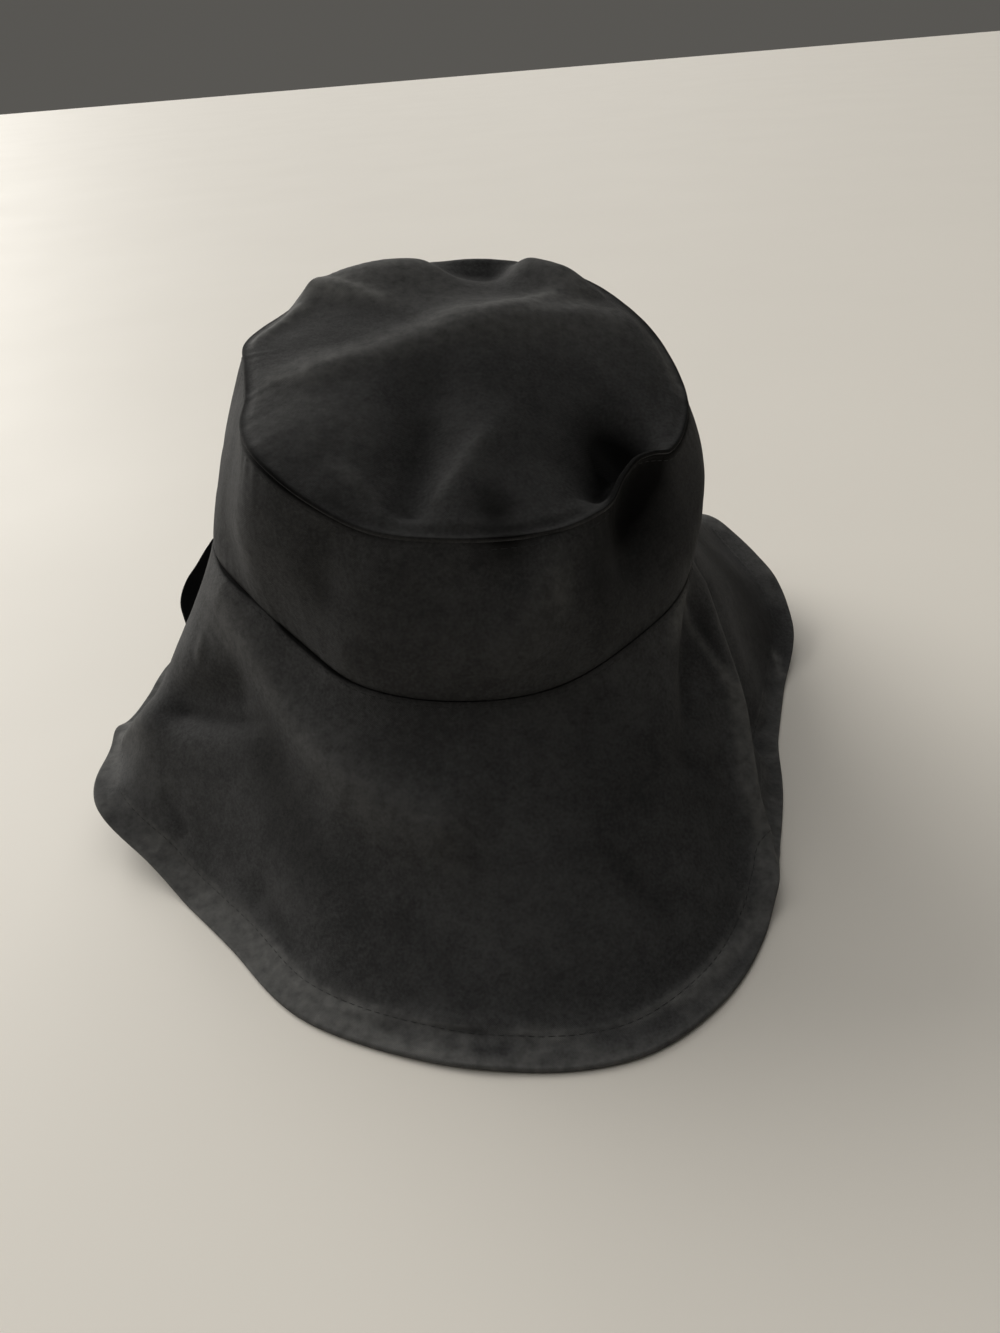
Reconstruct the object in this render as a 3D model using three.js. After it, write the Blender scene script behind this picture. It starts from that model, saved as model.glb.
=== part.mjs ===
// A soft, wide-brimmed sun hat of thin black cloth that stands on its own brim.
// It is sewn from three panels: the top of the crown, the side of the crown and the brim.
// Units are millimetres and +Z is up. The front of the hat faces -Y.
// Azimuths are in degrees, from the front towards +X.

import * as THREE from 'three';

// Driving dimensions
const headRadius = 93; // half of the head opening, side to side
const seamHeight = 90; // usual height of the head seam above the surface
const topRadius = 80; // half of the crown's top panel
const crownHeight = 110; // from the usual head seam to the highest fold of the crown
const brimReach = 80; // usual distance from the head seam to the hem, seen from above
const crownCloth = 1.6; // thickness of the crown's cloth
const brimCloth = 2; // thickness of the brim, which is two layers
const seamGap = 0.3; // between two panels along their seam
const rimWidth = 3; // rim of the top panel, which follows its seam
const slices = 84; // facets around the hat

// The head seam: its radius is a share of headRadius and its height a share of seamHeight
const headSeam = [
  { azimuth: 0, radius: 0.95, height: 0.9 },
  { azimuth: 22, radius: 0.95, height: 0.88 },
  { azimuth: 45, radius: 0.97, height: 0.95 },
  { azimuth: 67, radius: 0.99, height: 0.97 },
  { azimuth: 90, radius: 1, height: 1.01 },
  { azimuth: 135, radius: 0.98, height: 1.08 },
  { azimuth: 180, radius: 0.96, height: 1.13 },
  { azimuth: 225, radius: 0.97, height: 1.19 },
  { azimuth: 270, radius: 0.99, height: 1.23 },
  { azimuth: 288, radius: 0.97, height: 1.22 },
  { azimuth: 305, radius: 0.92, height: 1.15 },
  { azimuth: 321, radius: 0.91, height: 1.05 },
  { azimuth: 338, radius: 0.95, height: 0.96 },
];

// The seam of the top panel: its radius is a share of topRadius, and its height above
// the usual head seam a share of crownHeight
const topSeam = [
  { azimuth: 0, radius: 0.97, height: 0.4 },
  { azimuth: 27, radius: 0.99, height: 0.37 },
  { azimuth: 40, radius: 1, height: 0.38 },
  { azimuth: 46, radius: 0.985, height: 0.39 },
  { azimuth: 52, radius: 0.97, height: 0.43 },
  { azimuth: 58, radius: 0.985, height: 0.46 },
  { azimuth: 64, radius: 1.02, height: 0.455 },
  { azimuth: 70, radius: 1.07, height: 0.435 },
  { azimuth: 82, radius: 1.12, height: 0.45 },
  { azimuth: 95, radius: 1.17, height: 0.5 },
  { azimuth: 105, radius: 1.17, height: 0.58 },
  { azimuth: 118, radius: 1.16, height: 0.68 },
  { azimuth: 138, radius: 1.11, height: 0.8 },
  { azimuth: 160, radius: 0.97, height: 0.87 },
  { azimuth: 180, radius: 0.9, height: 0.88 },
  { azimuth: 205, radius: 0.86, height: 0.88 },
  { azimuth: 222, radius: 0.82, height: 0.86 },
  { azimuth: 240, radius: 0.85, height: 0.81 },
  { azimuth: 262, radius: 0.87, height: 0.78 },
  { azimuth: 275, radius: 0.84, height: 0.75 },
  { azimuth: 290, radius: 0.86, height: 0.7 },
  { azimuth: 302, radius: 0.95, height: 0.66 },
  { azimuth: 315, radius: 1.02, height: 0.62 },
  { azimuth: 328, radius: 1.02, height: 0.53 },
  { azimuth: 342, radius: 0.99, height: 0.44 },
];

// The hem: its reach past the head seam is a share of brimReach and its height a share
// of seamHeight, where 0 lies on the surface
const hem = [
  { azimuth: 0, reach: 1.04, height: 0 },
  { azimuth: 15, reach: 1.12, height: 0 },
  { azimuth: 26, reach: 1.05, height: 0 },
  { azimuth: 37, reach: 0.9, height: 0 },
  { azimuth: 49, reach: 0.7, height: 0 },
  { azimuth: 65, reach: 0.56, height: 0 },
  { azimuth: 80, reach: 0.52, height: 0 },
  { azimuth: 95, reach: 0.66, height: 0 },
  { azimuth: 109, reach: 0.97, height: 0.1 },
  { azimuth: 120, reach: 1.12, height: 0.25 },
  { azimuth: 135, reach: 1.19, height: 0.36 },
  { azimuth: 152, reach: 1, height: 0.15 },
  { azimuth: 167, reach: 0.82, height: 0 },
  { azimuth: 193, reach: 0.82, height: 0 },
  { azimuth: 209, reach: 1.02, height: 0.25 },
  { azimuth: 224, reach: 1.23, height: 0.54 },
  { azimuth: 232, reach: 1.17, height: 0.43 },
  { azimuth: 238, reach: 1.09, height: 0.33 },
  { azimuth: 244, reach: 0.88, height: 0.2 },
  { azimuth: 257, reach: 0.79, height: 0.17 },
  { azimuth: 274, reach: 0.8, height: 0.19 },
  { azimuth: 288, reach: 0.88, height: 0.2 },
  { azimuth: 300, reach: 0.77, height: 0.08 },
  { azimuth: 310, reach: 0.74, height: 0 },
  { azimuth: 323, reach: 0.77, height: 0 },
  { azimuth: 337, reach: 0.88, height: 0 },
  { azimuth: 348, reach: 0.95, height: 0 },
];

// The way of the brim from the head seam to the hem: out is a share of its reach there
// and down a share of its drop
const brimProfile = [
  { across: 0, out: 0, down: 0 },
  { across: 0.1, out: 0.07, down: 0.11 },
  { across: 0.28, out: 0.25, down: 0.33 },
  { across: 0.5, out: 0.47, down: 0.58 },
  { across: 0.7, out: 0.67, down: 0.8 },
  { across: 0.86, out: 0.84, down: 0.97 },
  { across: 0.93, out: 0.92, down: 1 },
  { across: 1, out: 1, down: 1 },
];

// How far the crown's side bulges outwards between its two seams, as a share of headRadius
const sideBulge = [
  { azimuth: 0, bulge: 0.06 },
  { azimuth: 60, bulge: 0.04 },
  { azimuth: 95, bulge: 0.07 },
  { azimuth: 180, bulge: 0.05 },
  { azimuth: 270, bulge: 0.035 },
  { azimuth: 300, bulge: 0.03 },
  { azimuth: 325, bulge: 0.04 },
];

// Folds of the brim, from one place to another: each place is an azimuth and a share of
// the way across, and width and height are shares of brimReach, a valley's height negative
const brimFolds = [
  { from: [296, 0.06], to: [354, 0.34], width: 0.15, height: 0.07 },
  { from: [303, 0.3], to: [290, 0.48], width: 0.14, height: -0.07 },
  { from: [286, 0.6], to: [272, 0.92], width: 0.12, height: 0.05 },
  { from: [322, 0.72], to: [334, 0.76], width: 0.12, height: -0.04 },
  { from: [78, 0.12], to: [43, 0.95], width: 0.12, height: 0.08 },
  { from: [68, 0.08], to: [44, 0.42], width: 0.1, height: -0.05 },
  { from: [92, 0.2], to: [78, 0.8], width: 0.15, height: -0.07 },
  { from: [124, 0.1], to: [134, 0.9], width: 0.16, height: 0.06 },
  { from: [250, 0.1], to: [252, 0.85], width: 0.16, height: 0.05 },
  { from: [236, 0.1], to: [243, 0.8], width: 0.12, height: -0.06 },
];

// Folds of the crown's side, written as those of the brim, with 0 at the head seam and
// 1 at the top panel's seam, and shares of headRadius
const sideFolds = [
  { from: [25, 0.98], to: [14, 0.3], width: 0.1, height: 0.03 },
  { from: [334, 0.9], to: [330, 0.3], width: 0.12, height: -0.03 },
  { from: [54, 0.92], to: [47, 0.6], width: 0.15, height: -0.09 },
  { from: [308, 0.2], to: [312, 0.9], width: 0.12, height: 0.02 },
  { from: [150, 0.5], to: [210, 0.5], width: 0.14, height: -0.04 },
];

// Folds of the top panel: each place is x and y as shares of topRadius, like the widths
// and heights
const topFolds = [
  { from: [0.2, 0.12], to: [0.88, 0.33], width: 0.25, height: 0.08 },
  { from: [-0.55, 0.5], to: [-0.04, 0.66], width: 0.18, height: 0.07 },
  { from: [0.5, 0.72], to: [0.62, 0.66], width: 0.16, height: 0.1 },
  { from: [0.13, 0.74], to: [0.3, 0.76], width: 0.14, height: -0.06 },
  { from: [-0.54, -0.23], to: [0.22, 0.05], width: 0.1, height: 0.03 },
  { from: [-0.03, -0.3], to: [-0.12, -0.8], width: 0.14, height: -0.05 },
  { from: [0.28, -0.42], to: [-0.02, -0.82], width: 0.1, height: 0.02 },
  { from: [0.82, -0.42], to: [0.72, -0.58], width: 0.18, height: -0.12 },
];

// The slope of the top panel: height over the middle of the head opening as a share of
// crownHeight, and its rise towards the back and towards the left
const topSlope = { height: 0.66, back: 0.38, left: 0.22 };
const topMiddle = { x: 0.08, y: -0.02 }; // shares of topRadius
const topPillow = { height: 0.1, power: 1.6 }; // rise of its middle, a share of crownHeight
const topFoldFade = 8; // how steeply the folds of the top panel end at its rim

// Rows of facets: shares of the way across each panel
const sideRows = [0, 0.125, 0.25, 0.375, 0.5, 0.625, 0.75, 0.875, 1];
const brimRows = [0, 0.06, 0.17, 0.3, 0.43, 0.56, 0.68, 0.79, 0.88, 0.94, 1];
const topRows = [0.12, 0.26, 0.4, 0.54, 0.67, 0.79, 0.9, 1 - rimWidth / topRadius, 1];
const flatBand = 0.85; // share of the way across the brim past which it can lie flat

// Interpolates the named columns of a table around the hat with smooth tangents.
function aroundRow(table, azimuth) {
  const count = table.length;
  const turn = ((azimuth % 360) + 360) % 360;
  let index = count - 1;
  for (let i = 0; i < count; i += 1) {
    if (table[i].azimuth <= turn) index = i;
  }
  const rowAt = (i) => table[((i % count) + count) % count];
  const placeAt = (i) => rowAt(i).azimuth + 360 * Math.floor(i / count);
  return smoothRow(rowAt, placeAt, index, turn);
}

// Interpolates the named columns of a table across a panel.
function acrossRow(table, across) {
  const last = table.length - 1;
  let index = 0;
  for (let i = 0; i < last; i += 1) {
    if (table[i].across <= across) index = i;
  }
  const rowAt = (i) => table[Math.min(Math.max(i, 0), last)];
  const placeAt = (i) => rowAt(i).across + Math.min(i, 0) + Math.max(i - last, 0);
  return smoothRow(rowAt, placeAt, index, across);
}

// Hermite interpolation between row index and the next, with tangents from the rows beside.
function smoothRow(rowAt, placeAt, index, place) {
  const gap = placeAt(index + 1) - placeAt(index);
  const t = (place - placeAt(index)) / gap;
  const row = {};
  for (const name of Object.keys(rowAt(index))) {
    const before = rowAt(index - 1)[name];
    const here = rowAt(index)[name];
    const next = rowAt(index + 1)[name];
    const after = rowAt(index + 2)[name];
    const slopeHere = ((next - before) * gap) / (placeAt(index + 1) - placeAt(index - 1));
    const slopeNext = ((after - here) * gap) / (placeAt(index + 2) - placeAt(index));
    const lift = slopeHere * t * (1 - t) * (1 - t) - slopeNext * t * t * (1 - t);
    row[name] = here + (next - here) * t * t * (3 - 2 * t) + lift;
  }
  return row;
}

// A point at an azimuth, a radius and a height.
function polar(azimuth, radius, height) {
  const angle = THREE.MathUtils.degToRad(azimuth);
  return new THREE.Vector3(radius * Math.sin(angle), -radius * Math.cos(angle), height);
}

// Outer edge of the head seam.
function headSeamPoint(azimuth) {
  const row = aroundRow(headSeam, azimuth);
  return polar(azimuth, row.radius * headRadius, row.height * seamHeight);
}

// Outer edge of the top panel's seam.
function topSeamPoint(azimuth) {
  const row = aroundRow(topSeam, azimuth);
  return polar(azimuth, row.radius * topRadius, seamHeight + row.height * crownHeight);
}

// Distance from a point to the line of a fold, given as points along it.
function distanceToLine(point, line) {
  const nearest = new THREE.Vector3();
  let distance = Infinity;
  for (let i = 1; i < line.length; i += 1) {
    new THREE.Line3(line[i - 1], line[i]).closestPointToPoint(point, true, nearest);
    distance = Math.min(distance, nearest.distanceTo(point));
  }
  return distance;
}

// A fold's line on a surface, sampled along its way.
function foldLine(fold, surface) {
  const steps = 8;
  const line = [];
  for (let i = 0; i <= steps; i += 1) {
    const share = i / steps;
    line.push(surface(
      THREE.MathUtils.lerp(fold.from[0], fold.to[0], share),
      THREE.MathUtils.lerp(fold.from[1], fold.to[1], share),
    ));
  }
  return line;
}

// Height of all the folds of a table at a point of the surface.
function foldHeight(point, folds, lines, size) {
  let height = 0;
  folds.forEach((fold, i) => {
    const ratio = distanceToLine(point, lines[i]) / (fold.width * size);
    height += fold.height * size * Math.exp(-ratio * ratio);
  });
  return height;
}

// The brim before its folds.
function plainBrim(azimuth, across) {
  const start = headSeamPoint(azimuth);
  const edge = aroundRow(hem, azimuth);
  const way = acrossRow(brimProfile, across);
  const radius = Math.hypot(start.x, start.y) + way.out * edge.reach * brimReach;
  const low = brimCloth + Math.max(edge.height, 0) * seamHeight;
  return polar(azimuth, radius, THREE.MathUtils.lerp(start.z, low, way.down));
}

// The crown's side before its folds.
function plainSide(azimuth, across) {
  const point = headSeamPoint(azimuth).lerp(topSeamPoint(azimuth), across);
  const bulge = aroundRow(sideBulge, azimuth).bulge * headRadius * Math.sin(Math.PI * across);
  return point.add(polar(azimuth, bulge, 0));
}

// Unit normal of a surface, pointing out of the hat, from points a short way to each side.
function outwards(surface, azimuth, across) {
  const turn = 1;
  const step = 0.1;
  const around = surface(azimuth + turn, across).sub(surface(azimuth - turn, across));
  const low = Math.max(across - step, 0);
  const high = Math.min(across + step, 1);
  const along = surface(azimuth, high).sub(surface(azimuth, low));
  const normal = around.cross(along).normalize();
  return normal.dot(polar(azimuth, 1, 1)) < 0 ? normal.negate() : normal;
}

// A point of a surface, raised by its folds, which fade out towards the head seam and,
// with fadeEnd, towards the other edge as well.
function foldedPoint(surface, azimuth, across, folds, lines, size, fadeEnd) {
  const point = surface(azimuth, across);
  const fade = Math.sqrt(Math.sin(Math.PI * (fadeEnd ? across : Math.min(across, 0.5))));
  const height = Math.max(fade, 0) * foldHeight(point, folds, lines, size);
  return point.addScaledVector(outwards(surface, azimuth, across), height);
}

// The azimuths of the facets' corners.
function azimuths() {
  return Array.from({ length: slices }, (_, column) => (360 * column) / slices);
}

// A closed shell from a grid of outer points and one of inner points, rows from edge to
// edge and columns around the hat.
function shell(outer, inner) {
  const positions = [];
  const indices = [];
  const rows = outer.length;
  const columns = outer[0].length;
  for (const skin of [outer, inner]) {
    for (const row of skin) {
      for (const point of row) positions.push(point.x, point.y, point.z);
    }
  }
  const at = (skin, row, column) => (skin * rows + row) * columns + (column % columns);
  const quad = (a, b, c, d) => indices.push(a, b, c, a, c, d);
  for (let column = 0; column < columns; column += 1) {
    const next = column + 1;
    for (let row = 0; row < rows - 1; row += 1) {
      quad(at(0, row, column), at(0, row, next), at(0, row + 1, next), at(0, row + 1, column));
      quad(at(1, row, next), at(1, row, column), at(1, row + 1, column), at(1, row + 1, next));
    }
    quad(at(1, 0, column), at(1, 0, next), at(0, 0, next), at(0, 0, column));
    const last = rows - 1;
    quad(at(0, last, column), at(0, last, next), at(1, last, next), at(1, last, column));
  }
  return closedGeometry(positions, indices);
}

function closedGeometry(positions, indices) {
  const geometry = new THREE.BufferGeometry();
  geometry.setAttribute('position', new THREE.Float32BufferAttribute(positions, 3));
  geometry.setIndex(indices);
  geometry.computeVertexNormals();
  return geometry;
}

// The side of the crown: a bent band that stands on the head seam.
function crownSideGeometry() {
  const lines = sideFolds.map((fold) => foldLine(fold, plainSide));
  const outer = [];
  const inner = [];
  for (const across of sideRows) {
    const row = azimuths().map((azimuth) => (
      foldedPoint(plainSide, azimuth, across, sideFolds, lines, headRadius, true)
    ));
    outer.push(row);
    inner.push(azimuths().map((azimuth, i) => row[i].clone().sub(polar(azimuth, crownCloth, 0))));
  }
  return shell(outer, inner);
}

// The brim: it hangs from the head seam, and its hem lies flat where it meets the surface.
function brimGeometry() {
  const lines = brimFolds.map((fold) => foldLine(fold, plainBrim));
  const outer = [];
  const inner = [];
  for (const across of brimRows) {
    const row = azimuths().map((azimuth) => (
      foldedPoint(plainBrim, azimuth, across, brimFolds, lines, brimReach, false)
    ));
    for (const point of row) {
      point.z = across === 0 ? point.z - seamGap : Math.max(point.z, brimCloth);
    }
    outer.push(row);
    inner.push(azimuths().map((azimuth, i) => {
      const under = row[i].clone();
      if (across === 0) return under.sub(polar(azimuth, crownCloth, 0));
      if (across > flatBand) return under.setZ(under.z - brimCloth);
      return under.addScaledVector(outwards(plainBrim, azimuth, across), -brimCloth);
    }));
  }
  return shell(outer.reverse(), inner.reverse());
}

// The top panel before its folds, at an azimuth and a share of the way from its middle.
function plainTop(azimuth, share) {
  const slope = (point) => seamHeight + topSlope.height * crownHeight
    + topSlope.back * point.y - topSlope.left * point.x;
  const rim = topSeamPoint(azimuth);
  const rise = rim.z - slope(rim);
  const middle = new THREE.Vector3(topMiddle.x * topRadius, topMiddle.y * topRadius, 0);
  const point = middle.lerp(rim, share);
  const pillow = topPillow.height * crownHeight * (1 - share ** topPillow.power);
  point.z = slope(point) + rise * share ** 3 + pillow;
  return point;
}

// The top of the crown: a slack panel that closes the crown and rests along its seam.
function crownTopGeometry() {
  const flatLine = (x, y) => new THREE.Vector3(x * topRadius, y * topRadius, 0);
  const lines = topFolds.map((fold) => foldLine(fold, flatLine));
  const positions = [];
  const indices = [];
  const addPoint = (azimuth, share, thickness) => {
    const point = plainTop(azimuth, share);
    const flat = new THREE.Vector3(point.x, point.y, 0);
    const fade = Math.min(1, (1 - share) * topFoldFade);
    point.z += fade * foldHeight(flat, topFolds, lines, topRadius);
    if (share >= topRows.at(-2)) point.z = topSeamPoint(azimuth).z;
    positions.push(point.x, point.y, point.z + seamGap + thickness);
  };
  for (const thickness of [crownCloth, 0]) {
    addPoint(0, 0, thickness);
    for (const share of topRows) {
      for (const azimuth of azimuths()) addPoint(azimuth, share, thickness);
    }
  }
  const skinSize = 1 + topRows.length * slices;
  const at = (skin, ring, column) => skin * skinSize + 1 + ring * slices + (column % slices);
  const quad = (a, b, c, d) => indices.push(a, b, c, a, c, d);
  for (let column = 0; column < slices; column += 1) {
    const next = column + 1;
    indices.push(0, at(0, 0, column), at(0, 0, next));
    indices.push(skinSize, at(1, 0, next), at(1, 0, column));
    for (let ring = 0; ring < topRows.length - 1; ring += 1) {
      quad(at(0, ring, column), at(0, ring + 1, column), at(0, ring + 1, next), at(0, ring, next));
      quad(at(1, ring, next), at(1, ring + 1, next), at(1, ring + 1, column), at(1, ring, column));
    }
    const last = topRows.length - 1;
    quad(at(1, last, column), at(1, last, next), at(0, last, next), at(0, last, column));
  }
  return closedGeometry(positions, indices);
}

function clothMaterial(color, roughness) {
  return new THREE.MeshStandardMaterial({ color, roughness, metalness: 0, flatShading: true });
}

function panel(name, geometry, material) {
  const mesh = new THREE.Mesh(geometry, material);
  mesh.name = name;
  return mesh;
}

const hat = new THREE.Group();
hat.add(panel('crown_top', crownTopGeometry(), clothMaterial(0x262627, 0.85)));
hat.add(panel('crown_side', crownSideGeometry(), clothMaterial(0x222223, 0.85)));
hat.add(panel('brim', brimGeometry(), clothMaterial(0x262626, 0.85)));

// The origin is on the surface, under the middle of the whole hat
const box = new THREE.Box3().setFromObject(hat);
const centre = box.getCenter(new THREE.Vector3());
hat.position.set(-centre.x, -centre.y, -box.min.z);

export default hat;
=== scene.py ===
"""A soft, wide-brimmed sun hat of thin black cloth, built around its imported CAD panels.

Every length is in metres, in the part's own frame: +Z is up and the front of the hat faces -Y.
Azimuths are in degrees, from the front towards +X, and a share runs from 0 to 1 across a panel.
"""

import math
from functools import partial

import bpy
import numpy as np
from bpy.props import FloatProperty, FloatVectorProperty, PointerProperty
from mathutils import Matrix, Vector


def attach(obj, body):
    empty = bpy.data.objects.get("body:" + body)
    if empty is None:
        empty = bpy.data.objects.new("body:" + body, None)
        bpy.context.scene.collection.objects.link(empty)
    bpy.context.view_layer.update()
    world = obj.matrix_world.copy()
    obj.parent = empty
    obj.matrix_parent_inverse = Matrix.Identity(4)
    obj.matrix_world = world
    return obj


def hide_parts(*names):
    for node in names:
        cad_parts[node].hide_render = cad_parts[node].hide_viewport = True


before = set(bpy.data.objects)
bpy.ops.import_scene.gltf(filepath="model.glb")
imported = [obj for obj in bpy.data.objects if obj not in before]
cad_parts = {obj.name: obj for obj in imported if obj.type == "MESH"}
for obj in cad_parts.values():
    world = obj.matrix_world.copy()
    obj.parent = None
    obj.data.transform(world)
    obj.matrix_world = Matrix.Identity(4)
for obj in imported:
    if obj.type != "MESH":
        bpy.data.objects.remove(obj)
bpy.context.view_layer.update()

bl_info = {
    "name": "Soft black sun hat",
    "version": (1, 0, 0),
    "blender": (4, 5, 0),
    "location": "3D View > Sidebar > Sun hat",
    "description": "Builds a wide-brimmed cloth sun hat with its seams, folds and stitches",
    "category": "Object",
}

BODY = "root"
HAT_PLACE = np.array((-0.00262, 0.0108, 0))  # the head opening's middle, from the part's origin

# The head seam: azimuth, share of the head radius, share of the seam height
HEAD_SEAM = (
    (0, 0.95, 0.9), (22, 0.95, 0.88), (45, 0.97, 0.95), (67, 0.99, 0.97), (90, 1, 1.01),
    (135, 0.98, 1.08), (180, 0.96, 1.13), (225, 0.97, 1.19), (270, 0.99, 1.23), (288, 0.97, 1.22),
    (305, 0.92, 1.15), (321, 0.91, 1.05), (338, 0.95, 0.96),
)

# The seam of the top panel: azimuth, share of the top radius, share of the crown height
TOP_SEAM = (
    (0, 0.97, 0.4), (27, 0.99, 0.37), (40, 1, 0.38), (46, 0.985, 0.39), (52, 0.97, 0.43),
    (58, 0.985, 0.46), (64, 1.02, 0.455), (70, 1.07, 0.435), (82, 1.12, 0.45), (95, 1.17, 0.5),
    (105, 1.17, 0.58), (118, 1.16, 0.68), (138, 1.11, 0.8), (160, 0.97, 0.87), (180, 0.9, 0.88),
    (205, 0.86, 0.88), (222, 0.82, 0.86), (240, 0.85, 0.81), (262, 0.87, 0.78),
    (275, 0.84, 0.75), (290, 0.86, 0.7), (302, 0.95, 0.66), (315, 1.02, 0.62), (328, 1.02, 0.53),
    (342, 0.99, 0.44),
)

# The hem: azimuth, share of the brim's reach past the head seam, share of the seam height
HEM = (
    (0, 1.04, 0), (15, 1.12, 0), (26, 1.05, 0), (37, 0.9, 0), (49, 0.7, 0), (65, 0.56, 0),
    (80, 0.52, 0), (95, 0.66, 0), (109, 0.97, 0.1), (120, 1.12, 0.25), (135, 1.19, 0.36),
    (152, 1, 0.15), (167, 0.82, 0), (193, 0.82, 0), (209, 1.02, 0.25), (224, 1.23, 0.54),
    (232, 1.17, 0.43), (238, 1.09, 0.33), (244, 0.88, 0.2), (257, 0.79, 0.17), (274, 0.8, 0.19),
    (288, 0.88, 0.2), (300, 0.77, 0.08), (310, 0.74, 0), (323, 0.77, 0), (337, 0.88, 0),
    (348, 0.95, 0),
)

# The way of the brim from the head seam to the hem: share across, share out, share down
BRIM_PROFILE = (
    (0, 0, 0), (0.1, 0.07, 0.11), (0.28, 0.25, 0.33), (0.5, 0.47, 0.58), (0.7, 0.67, 0.8),
    (0.86, 0.84, 0.97), (0.93, 0.92, 1), (1, 1, 1),
)

# How far the crown's side bulges between its seams: azimuth, share of the head radius
SIDE_BULGE = ((0, 0.06), (60, 0.04), (95, 0.07), (180, 0.05), (270, 0.035), (300, 0.03), (325, 0.04))

# Large folds. Each has its width, or its widths to the left and to the right, and its height, as
# shares of the panel, and then its path. A point of that is an azimuth and a share across the panel,
# or on the top panel shares of its radius to the right and to the back, and a strength if not 1.
BRIM_FOLDS = (
    (0.15, 0.07, (296, 0.06), (354, 0.34)), (0.14, -0.07, (303, 0.3), (290, 0.48)),
    (0.12, 0.05, (286, 0.6), (272, 0.92)), (0.12, -0.02, (324, 0.76), (334, 0.8)),
    (0.12, 0.08, (78, 0.12), (43, 0.95)), (0.1, -0.05, (68, 0.08), (44, 0.42)),
    (0.15, -0.07, (92, 0.2), (78, 0.8)), (0.16, 0.06, (124, 0.1), (134, 0.9)),
    (0.16, 0.05, (250, 0.1), (252, 0.85)), (0.12, -0.06, (236, 0.1), (243, 0.8)),
)
SIDE_FOLDS = (
    (0.1, 0.03, (25, 0.98), (14, 0.3)), (0.12, -0.03, (334, 0.9), (330, 0.3)),
    (0.15, -0.09, (54, 0.92), (47, 0.6)), (0.12, 0.02, (308, 0.2), (312, 0.9)),
    (0.14, -0.04, (150, 0.5), (210, 0.5)),
)
TOP_FOLDS = (
    (0.25, 0.08, (0.2, 0.12), (0.88, 0.33)), (0.18, 0.075, (-0.55, 0.5), (-0.04, 0.66)),
    (0.16, 0.1, (0.5, 0.72), (0.62, 0.66)), (0.14, -0.06, (0.13, 0.74), (0.3, 0.76)),
    (0.14, -0.05, (-0.03, -0.3), (-0.12, -0.8)), (0.1, 0.02, (0.28, -0.42), (-0.02, -0.82)),
    (0.18, -0.12, (0.82, -0.42), (0.72, -0.58)),
)

# Small creases, written as the large folds are
LEFT_VALLEY = ((284, 0.58, 0), (292, 0.5), (306, 0.36), (318, 0.24, 0))
BRIM_CREASES = (
    ((0.14, 0.06), -0.022, *LEFT_VALLEY), ((0.025, 0.02), -0.016, *LEFT_VALLEY),
    (0.05, 0.012, (286, 0.58, 0), (279, 0.8), (272, 1)),
    (0.03, 0.014, (293, 0.34, 0), (292, 0.27), (291, 0.2, 0)),
    ((0.06, 0.09), 0.014, (295, 0.06), (312, 0.15), (328, 0.22), (345, 0.28, 0.7), (358, 0.36, 0)),
    (0.045, -0.012, (297, 0.75), (302, 0.79)), (0.045, -0.012, (301, 0.87), (304, 0.89)),
    ((0.06, 0.04), -0.014, (316, 0.74, 0), (322, 0.79), (329, 0.84), (336, 0.87, 0)),
    (0.05, 0.03, (70, 0.03), (60, 0.09), (50, 0.13, 0)),
    ((0.06, 0.05), 0.036, (76, 0.16, 0), (63, 0.49), (51, 0.7), (47, 0.87), (42, 0.98, 0.5)),
    ((0.07, 0.06), -0.03, (80, 0.2, 0), (70, 0.42), (58, 0.66), (52, 0.86, 0)),
    (0.09, -0.12, (222, 0.93, 0.5), (227, 0.93), (233, 0.91), (240, 0.92), (244, 0.92, 0)),
    ((0.07, 0.06), -0.04, (68, 0.08, 0), (57, 0.22), (48, 0.36, 0)),
    (0.04, -0.02, (58, 0.78, 0), (55, 0.81), (50, 0.84, 0)),
)
SIDE_CREASES = (
    ((0.05, 0.07), 0.01, (25, 1), (20, 0.7), (14, 0.42, 0)),
    (0.06, -0.012, (335, 0.95, 0.5), (333, 0.7), (329, 0.35, 0)),
    ((0.12, 0.1), -0.04, (58, 0.99, 0.8), (54, 0.92), (50, 0.8), (47, 0.6, 0)),
    (0.07, -0.016, (14, 1), (14, 0.86), (13, 0.72, 0)),
)
TOP_CREASES = (
    ((0.12, 0.07), 0.03, (-0.8, -0.24, 0), (-0.54, -0.23), (-0.27, -0.12), (-0.05, -0.01),
     (0.22, 0.05), (0.49, 0.19, 0.8), (0.73, 0.31, 0.8), (0.92, 0.32, 0)),
    (0.06, 0.03, (-0.66, 0.5), (-0.39, 0.37), (-0.12, 0.26, 0)),
    (0.07, 0.018, (0.17, 0.06, 0), (0.31, 0.16, 0.6), (0.51, 0.38), (0.77, 0.6), (0.85, 0.7, 0)),
    (0.05, 0.025, (-0.8, 0.05, 0), (-0.8, 0.13), (-0.62, 0.31), (-0.52, 0.4, 0)),
    (0.07, -0.028, (-0.03, -0.36, 0), (-0.05, -0.45), (-0.09, -0.62), (-0.13, -0.82, 0.6)),
    ((0.05, 0.06), 0.013, (0.26, -0.44, 0), (0.2, -0.52), (0.12, -0.62), (-0.01, -0.79),
     (-0.07, -0.88, 0)),
    (0.045, 0.014, (-0.46, -0.7, 0), (-0.36, -0.74), (-0.26, -0.82), (-0.16, -0.92, 0)),
    (0.13, -0.09, (0.76, -0.36, 0.8), (0.8, -0.48), (0.76, -0.58)),
    (0.05, -0.03, (0.74, -0.34, 0), (0.86, -0.37), (0.97, -0.4, 0.6)),
    (0.07, -0.02, (0.23, -0.84), (0.24, -0.9)),
)

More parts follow.
